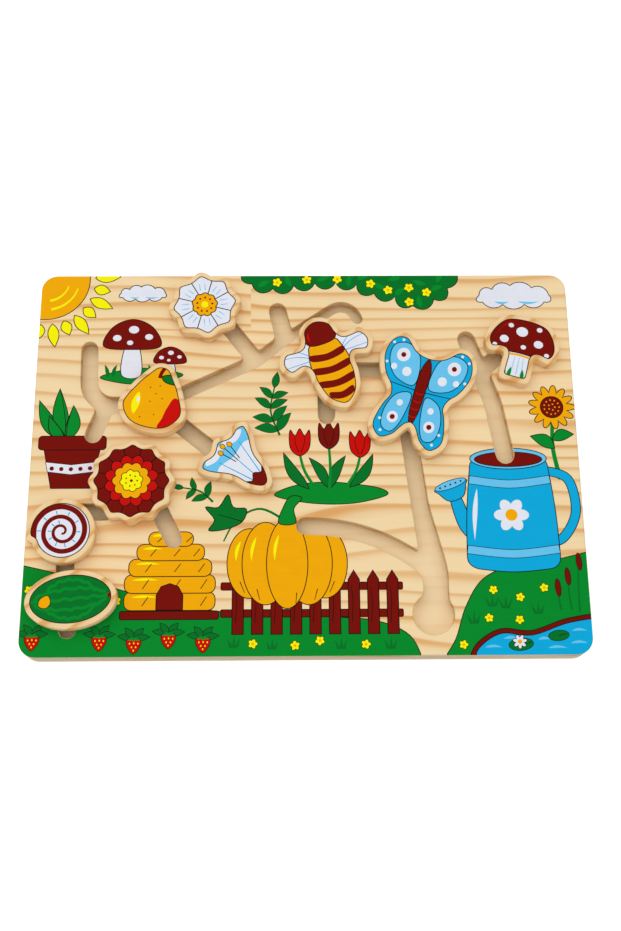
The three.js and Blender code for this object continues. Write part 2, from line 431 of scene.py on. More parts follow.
class Sheet:
    """The shapes printed on one face, from the lowest to the topmost, each with its ink.

    They are drawn about an origin that stands at the given centre, with axes turned by degrees.
    """

    def __init__(self, line_width, centre=0, turn=0):
        self.line_width = line_width
        self.centre = centre
        self.around = polar(1, turn)
        self.shapes = []

    def moved(self, centre, turn=0):
        """The same print with another origin and other axes."""
        other = Sheet(self.line_width, self.centre + self.around * centre)
        other.around = self.around * polar(1, turn)
        other.shapes = self.shapes
        return other

    def fill(self, ink, points):
        self.shapes.append((ink, [self.centre + self.around * point for point in anticlockwise(points)]))

    def drawn(self, ink, points, line=None):
        """A shape with a drawn outline."""
        half = (self.line_width if line is None else line) / 2
        points = anticlockwise(points)
        self.fill("line", grown(points, half))
        self.fill(ink, grown(points, -half))

    def stroke(self, points, width, end_width=None, ink="line"):
        self.fill(ink, ribbon(points, width, end_width))

    def dots(self, ink, places, width, height=None, steps=36):
        for place in places:
            self.fill(ink, oval(place, width, height, steps=steps))

    def spots(self, ink, spots, flatness):
        """Ovals, each given by its place and width."""
        for place, width in spots:
            self.fill(ink, oval(place, width, width * flatness))


# Picture on the board


def draw_blossoms(sheet, radius, places):
    for index, place in enumerate(places):
        sheet.drawn("yellow", blossom(place, radius, 5, 0.32, 25 * index), HAIR)
        sheet.fill("amber", oval(place, radius * 0.55, steps=12))


def draw_sprig(sheet, points, rows, length):
    """A curved stem with pairs of leaves and one at its tip."""
    path = smooth(points, 8, closed=False)
    sheet.stroke(points, 1.3, 0.8, "leaf")
    for row in range(rows):
        index = round((row + 0.6) / (rows + 0.4) * (len(path) - 2))
        ahead = path[index + 1] - path[index]
        ahead /= abs(ahead)
        reach = length * (1 - 0.35 * row / rows)
        for side in (-1, 1):
            tip = path[index] + ahead * polar(reach, side * 58)
            sheet.drawn("leaf", leaf(path[index], tip, reach * 0.42, -side * reach * 0.08), HAIR)
    ahead = path[-1] - path[-2]
    sheet.drawn("leaf", leaf(path[-1], path[-1] + ahead / abs(ahead) * length * 0.75, length * 0.32), HAIR)


def draw_ground(sheet):
    hill = [
        -153-60j, -136-64j, -112-70j, -84-78j, -52-85j,
        -18-88j, 14-89j, 38-91.5j, 54-99j, 61-113j,
    ]
    sheet.drawn("grass", smooth(hill, closed=False) + [-153-113j])
    tufts = ((-108-77j, 9), (-38-105j, 7), (-18-106j, 6), (18-106j, 6.5), (44-106j, 7))
    for base, height in tufts:
        draw_tuft(sheet, base, height)
    for top in (-143-97.5j, -108-98j, -90-99.5j, -72-97j, -54-99j):
        draw_strawberry(sheet.moved(top), 8.5)
    draw_blossoms(sheet, 2.6, (-28-103j, -6-104j, 7-101.5j, 31-103.5j, -100-80j, -146-74j))


def draw_tuft(sheet, base, height):
    for lean in (-0.5, 0.5, 0.04):
        foot = base + lean * 2.4
        tip = base + height * complex(lean, 1 - 0.5 * abs(lean))
        sheet.fill("leaf", [foot - 1, foot + 1, tip])


def draw_strawberry(sheet, size):
    """A berry that hangs below its leaves."""
    for reach in (-1+0.1j, -0.55+0.62j, 0.6+0.6j, 1+0.05j):
        sheet.drawn("leaf", leaf(0, size * reach, size * 0.42), HAIR)
    body = symmetric([-1j, 0.34-0.66j, 0.46-0.28j, 0.3-0.02j, -0.06j])
    sheet.drawn("red", smooth([size * point for point in body]), THIN)
    seeds = (-0.24-0.36j, 0.02-0.34j, 0.27-0.36j, -0.12-0.58j, 0.14-0.58j, -0.78j)
    sheet.dots("yellow", [size * seed for seed in seeds], 0.7, 1, steps=8)
    for reach in (-0.4-0.14j, -0.24j, 0.4-0.14j):
        sheet.fill("grass", leaf(0, size * reach, size * 0.2))


def draw_pond(sheet):
    corner = 153-113j
    bank = [70-113j, 78-101j, 84-84j, 94-69j, 112-61j, 132-59j, 153-54j]
    sheet.drawn("grass", smooth(bank, closed=False) + [corner])
    shore = [85-113j, 90-104j, 102-97j, 118-98j, 136-92j, 153-89j]
    sheet.fill("sky", smooth(shore, closed=False) + [corner])
    sheet.drawn("maroon", ribbon(shore, 2.4))
    ripples = (
        (93-105.5j, 9), (126-106j, 10), (139-97j, 8),
        (103-101j, 8), (138-103.5j, 9), (121-101.5j, 7),
    )
    for start, length in ripples:
        sheet.fill("pale", leaf(start, start + length, 1.4, 0.7))
    for centre, width in ((112-104j, 13), (132-99.5j, 11)):
        sheet.drawn("leaf", oval(centre, width, width * 0.5, 6), FINE)
        sheet.stroke([centre, centre + width * 0.42 + 1j], 0.4, 0.3)
    lily = 111.4-102.6j
    sheet.drawn("white", blossom(lily, 3.8, 7, 0.4, 12), FINE)
    sheet.fill("amber", oval(lily, 2.4, steps=14))
    for foot, head in ((144-87j, 145.5-60j), (140-86j, 139-68j), (134.4-86j, 133.4-74j)):
        sheet.stroke([foot, (foot + head) / 2 - 0.5, head + 4j], 1.1, 0.7, "leaf")
        sheet.drawn("maroon", oval(head, 3, 9.5, 4), FINE)
    for base in (88-93j, 105-85j, 122-88j, 98-84j):
        draw_tuft(sheet, base, 7.5)
    draw_blossoms(sheet, 2.5, (82-104j, 96-90j, 99-75j, 113-79j, 126-74j, 112-91j))


def draw_hedge(sheet):
    """Leafy top of a hedge along the back edge."""
    rim = [
        -34+113j, -30+104j, -18+101j, -6+103j, 6+104.5j, 18+105j, 30+103.5j,
        40+98j, 52+96j, 62+90j, 74+94j, 82+101j, 86+113j,
    ]
    sheet.drawn("leaf", bumpy(rim, 4.2))
    leaves = (
        (-23+104j, 30), (-9+106j, 110), (11+107j, 20), (26+106j, 80), (43+103j, 150), (55+99j, 40),
        (66+93j, 100), (76+101j, 20), (52+107j, 10), (66+105j, 160), (78+108j, 60), (34+108j, 20),
    )
    for middle, turn in leaves:
        reach = polar(3.8, turn)
        sheet.fill("grass", leaf(middle - reach, middle + reach, 3.2, 0.5))
    flowers = (
        -15.5+105j, 1.5+106.6j, 19+107j, 38+104j, 48+100j, 60+101.5j, 70+98.5j, 60+92.5j,
    )
    draw_blossoms(sheet, 2.9, flowers)


def draw_sun(sheet):
    """A sun whose middle is near the corner of the board."""
    for ray in range(8):
        turn = -95 + 14 * ray
        sheet.drawn("yellow", leaf(polar(27.5, turn), polar(42 if ray % 2 else 37, turn), 6.2))
    sheet.drawn("amber", oval(0, 49, steps=64))
    for reach in (18.5, 13):
        sheet.stroke([polar(reach, turn) for turn in range(-80, 0, 16)], 1.6, 0.7, "yellow")


def draw_cloud(sheet, size):
    lumps = (-19-4j, -7-5.6j, 6-5.6j, 18-4j, 21+1j, 11+5.5j, -2+7j, -13+4.5j, -21+0.5j)
    sheet.drawn("white", bumpy([size * lump for lump in lumps], 3 * size, closed=True))
    for start, length in ((-12-3.6j, 9), (2-3.6j, 13)):
        sheet.fill("pale", leaf(size * start, size * (start + length), 1.5 * size, -size))


def draw_toadstool(sheet, height, cap):
    """A white stem under a spotted cap."""
    neck = 1j * height
    sheet.drawn("white", smooth([-cap * 0.17, cap * 0.17, neck + cap * 0.11, neck - cap * 0.11]))
    top = neck + 0.08j * cap
    dome = symmetric([0.42j, -0.36+0.26j, -0.5-0.1j, -0.16j])
    sheet.drawn("maroon", smooth([top + cap * point for point in dome]))
    spots = ((-0.27+0.06j, 0.15), (0.02+0.22j, 0.18), (0.29+0.08j, 0.14), (-0.04-0.03j, 0.11))
    sheet.spots("white", [(top + cap * spot, cap * width) for spot, width in spots], 0.8)


def draw_toadstools(sheet):
    mound = [-114+47j, -104+43.5j, -92+42.5j, -80+43.5j, -68+48j, -80+51j, -96+52j]
    sheet.drawn("grass", smooth(mound))
    draw_toadstool(sheet.moved(-97+48j), 18, 32)
    draw_toadstool(sheet.moved(-75.5+47j), 9, 18)
    for x, lean in ((-110, -2), (-107, 2), (-86, -1.5), (-83.5, 2)):
        base = complex(x, 46.5)
        sheet.fill("leaf", leaf(base, base + complex(lean, 8), 2.2, lean * 0.3))


def draw_pot(sheet):
    root = -131+9j
    leaves = ((-147+33j, 8, 2.5), (-136+40j, 8.5, 1.5), (-128+30j, 7.5, -2), (-141+24j, 6, 2))
    for tip, width, bow in leaves:
        sheet.drawn("grass", leaf(root, tip, width, bow))
        sheet.stroke([root, (root + tip) / 2 + bow * 0.6, tip], 0.5, 0.3)
    sheet.drawn("maroon", [-143+5j, -138-18j, -117-18j, -112+5j])
    band = [-141.6-3j, -127.5-4.6j, -113.6-3j, -114.8-8.6j, -127.5-10.2j, -140.3-8.6j]
    sheet.drawn("white", band, FINE)
    sag = [0.7 * math.sin(math.pi * (step + 0.6) / 5) for step in range(5)]
    sheet.dots("maroon", [complex(-138 + 5.2 * step, -6.4 - drop) for step, drop in enumerate(sag)], 2.4)
    sheet.drawn("maroon", block(-146, 4, -109, 12, 2))


def draw_hive(sheet):
    sheet.drawn("maroon", block(-26, -90, 26, -85.5, 1.2))
    bands = ((-85.2, 48, 10), (-76, 48, 10), (-67, 44, 9.5), (-58.4, 36, 9), (-50.6, 24, 8))
    for bottom, width, height in bands:
        sheet.drawn("amber", block(-width / 2, bottom, width / 2, bottom + height, 3.8))
        gleam = complex(-width * 0.42, bottom + height * 0.7)
        sheet.fill("yellow", leaf(gleam, gleam + width * 0.3, 1.3, 0.5))
        for share in (-0.3, 0.05, 0.34):
            x = width * share
            sheet.stroke([complex(x, bottom + 2.4), complex(x + 3.2, bottom + height - 2.6)], 0.45)
    sheet.drawn("maroon", symmetric([-7-85j, -7-77j, -4.5-72.4j, -70.8j]))


def draw_pumpkin(sheet):
    sheet.stroke([1+22j, -14+30j, -27+24j, -34+12j], 1.5, 0.8, "leaf")
    lobes = ((-20, 24, 38), (20, 24, 38), (-11.5, 25, 45), (11.5, 25, 45), (0, 22, 49))
    for x, width, height in lobes:
        sheet.drawn("amber", oval(x, width, height, steps=48))
        gleam = complex(x - width * 0.2, height * 0.32)
        sheet.fill("yellow", leaf(gleam, gleam - complex(width * 0.1, height * 0.3), 1.8, -0.9))
    for x, drop in ((-25, 10), (-16, 14), (16, 14), (25, 10), (5, 16)):
        sheet.stroke([complex(x, -drop), complex(x * 0.9, -drop - 6)], 0.5, 0.3)
    sheet.drawn("grass", smooth([-4.5+22j, 4.5+22j, 3.6+30j, 8+36j, 2+37j, -2+31j]))


def draw_lobed_leaf(sheet):
    lobes = [0, 2+7j, -5+8j, -8+15j, -13+8j, -20+8j, -15+1j, -18-5j, -8-4j]
    sheet.drawn("leaf", smooth(lobes, 4))
    sheet.stroke([0, -13+4j], 0.5, 0.3)


def draw_can(sheet):
    sheet.drawn("sky", ribbon([131-9j, 143-14j, 146-32j, 139-46j, 130-50j], 5))
    sheet.drawn("sky", ribbon([98-48j, 87-40j, 81-24j], 11, 6))
    draw_rose(sheet.moved(80.6-22j, 20))
    sides = (
        [90-3j, 87-32j, 86-60j], [90-63.5j, 111-65.5j, 133-63.5j], [136-60j, 135-32j, 132-3j],
    )
    body = [point for side in sides for point in smooth(side, closed=False)]
    sheet.drawn("sky", relaxed(even(body, 1.5), 3))
    for y in (-14, -53):
        slant = (y + 14) * 0.066
        band = [complex(89 + slant, y), complex(111, y - 2.6), complex(133.1 - slant, y)]
        sheet.drawn("pale", ribbon(band, 4.6), FINE)
    sheet.fill("white", blossom(111-34j, 9.5, 6, 0.35))
    sheet.fill("amber", oval(111-34j, 6.5))
    sheet.fill("white", leaf(93-19j, 90.6-48j, 2.6, -0.5))
    sheet.drawn("pale", oval(111-2j, 42, 12, steps=48))
    sheet.drawn("maroon", oval(111-2.4j, 37, 8.4, steps=48))


def draw_rose(sheet):
    """The sprinkling end of the can's spout."""
    sheet.drawn("sky", smooth(symmetric([4-3j, 8+3j, 9+5.4j, 7j]), 5))
    sheet.drawn("pale", oval(5.6j, 18, 4.6), THIN)
    sheet.dots("line", [x + 5.6j for x in (-6, -3, 0, 3, 6)], 1.1, steps=10)


def draw_fence(sheet):
    for y in (-72.5, -87):
        sheet.drawn("maroon", block(-45, y - 2, 51, y + 2, 0.8))
    for step in range(9):
        picket = sheet.moved(-36 + 10.2 * step)
        picket.drawn("maroon", [-3-98j, 3-98j, 3-69j, -64j, -3-69j])
        picket.stroke([-1.2-92j, -0.6-80j, -1.4-73j], 0.4, 0.3)


def draw_tulip(sheet, foot, head, bow, ink):
    sheet.stroke([foot, (foot + head) / 2 + bow, head], 1.8, 1.4, "grass")
    flower = sheet.moved(head)
    flower.drawn(ink, smooth(symmetric([-1j, 4.6+2.4j, 5.8+8j, 5.2+14j, 2.6+10.6j, 14.8j]), 5))
    for side in (1, -1):
        flower.stroke(sided([0.6+1j, 2.4+6j, 2.6+10j], side), 0.45, 0.3)


def draw_tulips(sheet):
    mound = [-16-23j, 4-27j, 26-27j, 44-22.5j, 40-18.5j, 25-16j, 12-15j, -1-16j, -12-19j]
    sheet.drawn("grass", smooth(mound))
    leaves = (
        (2-19j, -12+2j, 6, 2), (12-18j, 2-1j, 5.5, -1.5),
        (24-18j, 37+1j, 6, -2), (14-18j, 22, 5.5, 1.5),
    )
    for foot, tip, width, bow in leaves:
        sheet.drawn("leaf", leaf(foot, tip, width, bow))
    draw_tulip(sheet, 5-18j, -3+1j, -1.5, "red")
    draw_tulip(sheet, 22-18j, 30, 1.5, "red")
    draw_tulip(sheet, 13-18j, 13+5j, 0.6, "maroon")


def draw_sunflower(sheet):
    sheet.stroke([139-14j, 136+4j, 137+22j], 2.6, 2, "grass")
    sheet.drawn("grass", leaf(137+4j, 124+11j, 7, -1.4))
    sheet.drawn("grass", leaf(136+9j, 148+12j, 6.5, 1.4))
    flower = sheet.moved(137+28j)
    flower.drawn("amber", blossom(0, 13, 13, 0.34))
    flower.drawn("maroon", oval(0, 12.6))
    for count, radius in ((5, 1.8), (11, 4.2)):
        flower.dots("amber", circle(count, radius), 0.9, steps=8)


def board_picture(line_width):
    """Garden scene on the board, in millimetres from its middle."""
    sheet = Sheet(line_width)
    draw_ground(sheet)
    draw_hedge(sheet)
    draw_sun(sheet.moved(-147+106.5j))
    draw_cloud(sheet.moved(-92+98j), 0.6)
    draw_cloud(sheet.moved(120+96j), 0.95)
    draw_toadstools(sheet)
    draw_pot(sheet)
    draw_hive(sheet.moved(-72))
    draw_fence(sheet)
    draw_tulips(sheet)
    draw_pumpkin(sheet.moved(-10-60j))
    draw_lobed_leaf(sheet.moved(-34-37j))
    draw_sunflower(sheet)
    draw_pond(sheet)
    draw_can(sheet)
    draw_sprig(sheet, [-14+12j, -19+26j, -17+40j], 4, 13)
    draw_sprig(sheet, [-50-26j, -57-20j, -66-18j], 2, 9)
    return sheet


# Pictures on the heads, about the middle of each head

# Steps along the spiral of the snail shell, and those of one turn
SHELL_STEPS = 28
SHELL_TURN_STEPS = 10


def daisy_picture(sheet):
    for between, middle in zip(circle(8, shift=0.5), circle(8)):
        sheet.stroke([between * 6, between * 12.5, between * 16.4], 0.5, 0.6)
        for lean in (-0.16, 0.16):
            vein = [middle * cmath.rect(9, lean), middle * cmath.rect(13.2, lean * 0.7)]
            sheet.stroke(vein, 0.6, 0.25, "pale")
    sheet.drawn("amber", blossom(0, 7.2, 9, 0.12), 0.55)
    sheet.dots("maroon", circle(9, 4.3), 1.2, steps=10)
    sheet.fill("yellow", oval(0, 4))


def pear_picture(sheet):
    sheet.fill("red", smooth([6-17j, 16-14j, 18-4j, 11+2j, 8-5j, 7-11j]))
    sheet.fill("yellow", smooth([-9-12j, -11.6-6j, -9.4+1j, -7.2-5j]))
    sheet.fill("white", oval(-8.6-3.2j, 1.5, 3.6, 8))
    specks = (2-10j, -2-3j, 4, -4+5j, 1+7j, -5-13j, 8-12j, 2j)
    sheet.dots("maroon", specks, 0.8, steps=8)
    sheet.drawn("leaf", leaf(0.4+12.5j, 8.6+9.2j, 5, 1))
    sheet.stroke([-0.6+11.4j, -0.2+15j, 1.2+19j], 1.8, 2.2, "maroon")


def marigold_picture(sheet):
    for between in circle(12, shift=0.5):
        sheet.stroke([between * 10, between * 16, between * 19.4], 0.45, 0.6)
    sheet.drawn("red", blossom(0, 14.6, 12, 0.16, 15))
    for middle in circle(12):
        sheet.stroke([middle * 8, middle * 12.2], 0.4, 0.6, "maroon")
    sheet.drawn("amber", blossom(0, 10.4, 10, 0.14))
    sheet.drawn("yellow", blossom(0, 6.2, 8, 0.16, 10), THIN)
    sheet.dots("maroon", circle(7, 3.1), 0.9, steps=10)
    sheet.fill("maroon", oval(0, 1.6, steps=14))


def whorl(step):
    """Point of a snail shell's spiral, whose last step is on the X axis."""
    share = step / SHELL_STEPS
    return cmath.rect(1.2 + 14.2 * share**1.15, FULL_TURN * (step - SHELL_STEPS) / SHELL_TURN_STEPS)


def shell_picture(sheet):
    sheet.fill("maroon", ribbon([whorl(step) for step in range(SHELL_STEPS + 1)], 1.1, 3.2, 5))
    for step in range(15, SHELL_STEPS):
        outside = whorl(step + 0.4)
        around = outside / abs(outside)
        sheet.stroke([outside - around * 4.4, outside - around * 2.2], 0.4, 0.7, "sky")


def melon_picture(sheet):
    steps = 14
    for height in (-10.2, -5.4, 0, 5.4, 10.2):
        spread = math.sqrt(1 - (height / 13.4) ** 2) * 20.4
        stripe = []
        for step in range(steps + 1):
            share = 2 * step / steps - 1
            bow = height * math.sqrt(1 - (share * 0.96) ** 2)
            stripe.append(complex(share * spread, bow + 0.55 * math.sin(step * 2.4 + height)))
        sheet.fill("grass", ribbon(stripe, 1.7, steps=3))
    sheet.drawn("amber", smooth([-15.6+1.6j, -11.5+3j, -10.4-1j, -13-3.6j, -16.6-2.2j]), THIN)
    sheet.fill("maroon", oval(20.6, 3, 2.6))


def bell_picture(sheet):
    sheet.fill("pale", smooth(symmetric([5.5j, 10+7j, 19+3j, 22+24j])))
    sheet.fill("white", smooth(symmetric([12.5j, 8+10.5j, 14+13j, 9+15.5j, 15.5j])))
    for x, reach in ((-6.4, -11.5), (0, -14), (6.4, -11.5)):
        sheet.stroke([complex(x * 0.45, reach), x * 0.9, complex(x * 1.25, 9)], 0.6, 0.4, "sky")
    for tip in (-3.4+12j, 13.8j, 3.4+12j):
        sheet.stroke([tip.real * 0.4 + 2.5j, tip], 0.5)
        sheet.drawn("amber", oval(tip, 2.6, 3.2), FINE)
    sheet.drawn("maroon", smooth(symmetric([-8.8j, 3.4-11.4j, 7-9.5j, 6-22j])))


def bee_picture(sheet):
    root = 7+4j
    for side in (-1, 1):
        for tip, bow in ((24+10j, 1.5j), (25+4j, 0), (20+13j, 2j)):
            sheet.stroke(sided([root, (root + tip) / 2 + bow, tip], side), 0.5, 0.3, "sky")
    body = symmetric([-27j, 6-22j, 10.4-12j, 11.2-1j, 9.6+8j, 6.4+13j])
    sheet.drawn("amber", smooth(body), 0.6)
    for y, half in ((5, 9.7), (-3, 10.8), (-11.4, 9.9), (-19, 6.7)):
        stripe = [0.4j, half + 2j, half - 0.4 - 1.8j, -3.6j]
        sheet.moved(1j * y).fill("maroon", smooth(symmetric(stripe), 5))
    sheet.drawn("maroon", smooth(symmetric([30j, 10.5+24j, 9+15j, 5+11.8j])))
    sheet.fill("red", leaf(-6.4+14.8j, -5.2+21j, 1.2, 0.7))


def butterfly_picture(sheet):
    fore_wing = smooth([4+4j, 15+5.4j, 21+14j, 21+24j, 13+27j, 5+20j])
    hind_wing = smooth([4-2j, 12-4j, 16-14j, 15-24j, 9-26j, 5-17j])
    wing_spots = [14.6+19.6j, 10.4-17.6j]
    places = [wing_spots[0], 10.2+10.4j, 17.8+11.4j, wing_spots[1], 8.8-8.4j]
    edge_dots = [22.4+13j, 21.6+25.4j, 17+28.2j, 16.8-20.4j, 14.6-27j]
    for side in (-1, 1):
        for wing in (fore_wing, hind_wing):
            sheet.drawn("pale", sided(wing, side))
        sheet.spots("white", zip(sided(places, side), (7.4, 5, 3.4, 6, 3.4)), 1.12)
        sheet.dots("maroon", sided(wing_spots, side), 2.8, 3)
        sheet.stroke(sided([2+1j, 12+1.6j, 20+2.2j], side), 0.6, 0.4)
        sheet.dots("white", sided(edge_dots, side), 1.6)
    sheet.drawn("maroon", smooth(symmetric([-20j, 2.4-12j, 3+2j, 2.8+14j, 21j])))
    for y in (-14, -9.4, -4.8, 0):
        sheet.stroke([complex(-2, y), complex(0, y - 0.8), complex(2, y)], 0.6, ink="red")


def mushroom_picture(sheet):
    for x in (-2.6, 0.4, 3.2):
        sheet.stroke([x - 16.5j, x * 0.9 - 10j, x * 0.8 - 6j], 0.45, 0.3, "pale")
    sheet.drawn("maroon", smooth(symmetric([-3.4j, 9-4j, 24-5.4j, 26+26j]), 8), 0.6)
    sheet.stroke([-8.4-5.4j, -4.6j, 8.4-5.4j], 1.3, ink="amber")
    spots = (
        (-10.4+3j, 5), (-1.6+9.6j, 6.6), (8.8+4.4j, 5.2), (1+0.6j, 3),
        (-8.4+12j, 3), (7.6+13.2j, 3.2), (-14.8-1.6j, 2.6), (14.6-1j, 2.8),
    )
    sheet.spots("white", spots, 0.88)
    sheet.fill("red", smooth([-15+5j, -12.6+10j, -8+14.6j, -11.4+12j, -14+8j]))
    for x, lean in ((-6, -1.5), (-3.6, 0.6), (4, -0.6), (6.2, 1.6)):
        sheet.fill("grass", leaf(x - 19.5j, x + lean - 12.6j, 2.2, lean * 0.2))


# Picture, ink of its ground, turn in degrees and shift from the peg in millimetres of each head
HEADS = {
    1: (daisy_picture, "white", 8, -0.6-0.6j),
    2: (pear_picture, "amber", -14, 0.7+1.8j),
    3: (marigold_picture, "maroon", 0, 0.5j),
    4: (shell_picture, "white", 200, 0j),
    5: (melon_picture, "leaf", 6, 3.6-0.8j),
    6: (bell_picture, "white", 48, 3.6+0.8j),
    7: (bee_picture, "white", 20, 2.2+1.4j),
    8: (butterfly_picture, "sky", -18, 7.98+3.4j),
    9: (mushroom_picture, "white", -16, 3.9-5.19j),
}


# Materials

# Sockets of a mix node for colours
MIX_FACTOR, MIX_FIRST, MIX_SECOND, MIX_RESULT = 0, 6, 7, 2

# Noise scales along, across and through the grain
WANDER_SCALE = (4, 15, 15)
CROWD_SCALE = (0.8, 26, 26)
TONE_SCALE = (3, 20, 20)
PATCH_SCALE = (5, 45, 45)
FIBRE_SCALE = (22, 950, 950)
INK_FIBRE_SCALE = (26, 800, 800)
INK_MOTTLE_SCALE = (160, 160, 160)
FLOOR_SPECK_SCALE = (300, 300, 300)

# Growth lines: how far they wander and where they start, in metres, their lean and how much they crowd
RING_WANDER = 0.035
RING_START = 0.5
RING_LEAN = 0.45
RING_CROWDING = 2.6

# Darkness across one growth line: place and value
RING_PROFILE = ((0.0, 0.3), (0.07, 0.06), (0.46, 0.05), (0.68, 0.3), (0.86, 0.95), (0.97, 0.85), (1.0, 0.3))

# Near right corner, in metres, of a glued-in length at the back left, and its shift of rings and tone
SEAM = (-0.0304, 0.075)
SEAM_RINGS = 0.43
SEAM_TONE = -0.04

# Painted shade on upright faces, which also stands for their darker cut grain: the sawn outer edges of the
# plates, and the walls of the slots
SAWN_EDGE_SHADE = (0.48, 0.49, 0.55)
SLOT_WALL_SHADE = (0.78, 0.7, 0.62)
UNTINTED = (1, 1, 1)

# Share of the half size of the part from which a face counts as an outer edge
SAWN_FROM = 0.97

# Height of the bumps of wood and ink, in metres
BUMP_HEIGHT = 0.0004

# Strength of the growth lines where they are strongest, and their share in the bumps
LINE_STRENGTH = 1.65
LINE_RELIEF = 0.5

# Lowest and highest brightness and roughness that noise gives to wood, ink and floor
FIBRE_BRIGHTNESS = (0.965, 1.03)
TONE_BRIGHTNESS = (0.95, 1.05)
WOOD_ROUGHNESS = (0.5, 0.68)
INK_BRIGHTNESS = (0.95, 1.05)
INK_ROUGHNESS = (0.5, 0.66)
FLOOR_BRIGHTNESS = (0.985, 1.0)

# Places in the wood from which the pieces are cut, in metres, with steps from one slider to the next
FACE_CUT = (0.3, 0.1, 0)
CHANNEL_CUT = (0.1, 0.4, 0)
BACK_CUT = (0.7, 0.2, 0)
HEAD_CUT_STEP = (0.13, 0.07)
HEAD_CUT_HEIGHT = 0.01
DOWEL_CUT_STEP = (0.21, 0.11)
PEG_CUT_HEIGHT = 0
FOOT_CUT_HEIGHT = 0.05

# Turn of the grain from one slider to the next, in radians, and how much finer the lines of a dowel are
HEAD_GRAIN_TURN = math.radians(7)
DOWEL_GRAIN_TURN = 0.5
DOWEL_FINENESS = 3


def add_node(tree, kind, sockets=None, **settings):
    """A shader node; a socket given as a value is linked and anything else is set."""
    made = tree.nodes.new("ShaderNode" + kind)
    for key, value in settings.items():
        setattr(made, key, value)
    for key, value in (sockets or {}).items():
        if isinstance(value, bpy.types.NodeSocket):
            tree.links.new(value, made.inputs[key])
        else:
            made.inputs[key].default_value = value
    return made


def math_node(tree, operation, *values):
    return add_node(tree, "Math", dict(enumerate(values)), operation=operation).outputs[0]


def axes_of(tree, vector):
    return add_node(tree, "SeparateXYZ", {"Vector": vector}).outputs


def span(tree, value, low, high):
    """A share from 0 to 1 spread between two values."""
    return add_node(tree, "MapRange", {"Value": value, "To Min": low, "To Max": high}).outputs[0]


def stretched_noise(tree, place, scale, detail=2.0, roughness=0.5):
    mapped = add_node(tree, "Mapping", {"Vector": place, "Scale": scale}).outputs[0]
    sockets = {"Vector": mapped, "Scale": 1.0, "Detail": detail, "Roughness": roughness}
    return add_node(tree, "TexNoise", sockets).outputs[0]


def mix_colours(tree, factor, first, second, blend="MIX"):
    sockets = {MIX_FACTOR: factor, MIX_FIRST: first, MIX_SECOND: second}
    return add_node(tree, "Mix", sockets, data_type="RGBA", blend_type=blend).outputs[MIX_RESULT]


def varied(tree, colour, first, second):
    """A colour whose brightness follows two values."""
    return mix_colours(tree, 1.0, colour, math_node(tree, "MULTIPLY", first, second), "MULTIPLY")


def start_material(name):
    """An empty material, its nodes and the coordinates of the object."""
    material = bpy.data.materials.new(name)
    material.use_nodes = True
    tree = material.node_tree
    tree.nodes.clear()
    return material, tree, add_node(tree, "TexCoord").outputs["Object"]


def add_surface(tree, sockets):
    surface = add_node(tree, "BsdfPrincipled", sockets).outputs[0]
    add_node(tree, "OutputMaterial", {"Surface": surface})


def add_bumpy_surface(tree, colour, roughness, height, bump, specular):
    lifted = add_node(tree, "Bump", {"Height": height, "Strength": bump, "Distance": BUMP_HEIGHT}).outputs[0]
    add_surface(tree, {
        "Base Color": colour, "Roughness": roughness, "Normal": lifted, "Specular IOR Level": specular,
    })


def growth_lines(tree, place, grain, spacing, seam):
    """Share of the way from one growth line to the next, and the tone of the wood."""
    axes = axes_of(tree, grain)
    wander = stretched_noise(tree, grain, WANDER_SCALE)
    across = math_node(tree, "MULTIPLY_ADD", wander, RING_WANDER, RING_START)
    across = math_node(tree, "ADD", across, axes["Y"])
    across = math_node(tree, "ADD", across, math_node(tree, "MULTIPLY", axes["Z"], RING_LEAN))
    rings = math_node(tree, "DIVIDE", across, spacing)
    crowd = stretched_noise(tree, grain, CROWD_SCALE, detail=1.0)
    rings = math_node(tree, "ADD", rings, math_node(tree, "MULTIPLY", crowd, RING_CROWDING))
    tone = stretched_noise(tree, grain, TONE_SCALE)
    if seam is not None:
        corner = axes_of(tree, place)
        left = math_node(tree, "LESS_THAN", corner["X"], seam[0])
        back = math_node(tree, "GREATER_THAN", corner["Y"], seam[1])
        length = math_node(tree, "MULTIPLY", left, back)
        rings = math_node(tree, "ADD", rings, math_node(tree, "MULTIPLY", length, SEAM_RINGS))
        tone = math_node(tree, "ADD", tone, math_node(tree, "MULTIPLY", length, SEAM_TONE))
    return math_node(tree, "FRACT", rings), tone


def ring_darkness(tree, ring):
    ramp = add_node(tree, "ValToRGB", {"Fac": ring})
    stops = ramp.color_ramp.elements
    while len(stops) < len(RING_PROFILE):
        stops.new(0.5)
    for stop, (position, value) in zip(stops, RING_PROFILE):
        stop.position = position
        stop.color = (value, value, value, 1)
    return ramp.outputs[0]


def painted_edge_shade(tree, place, colour, sawn_shade, slot_shade):
    """A colour with painted shade on upright faces: one darkening on the outer edges and another elsewhere,
    which also stands for their darker cut grain.
    """
    facing = axes_of(tree, add_node(tree, "NewGeometry").outputs["Normal"])
    upright = math_node(tree, "SUBTRACT", 1.0, math_node(tree, "ABSOLUTE", facing["Z"]))
    corner = axes_of(tree, place)
    beyond = []
    for axis, half in zip("XY", CAD_BOX[1]):
        distance = math_node(tree, "ABSOLUTE", corner[axis])
        beyond.append(math_node(tree, "GREATER_THAN", distance, SAWN_FROM * half))
    outside = math_node(tree, "MAXIMUM", *beyond)
    edge_shade = mix_colours(tree, outside, (*slot_shade, 1), (*sawn_shade, 1))
    return mix_colours(tree, upright, colour, mix_colours(tree, 1.0, colour, edge_shade, "MULTIPLY"))


def slider_cut(step, number, height):
    """Place in the wood from which a piece of a slider is cut, in metres."""
    return (step[0] * number, step[1] * number, height)


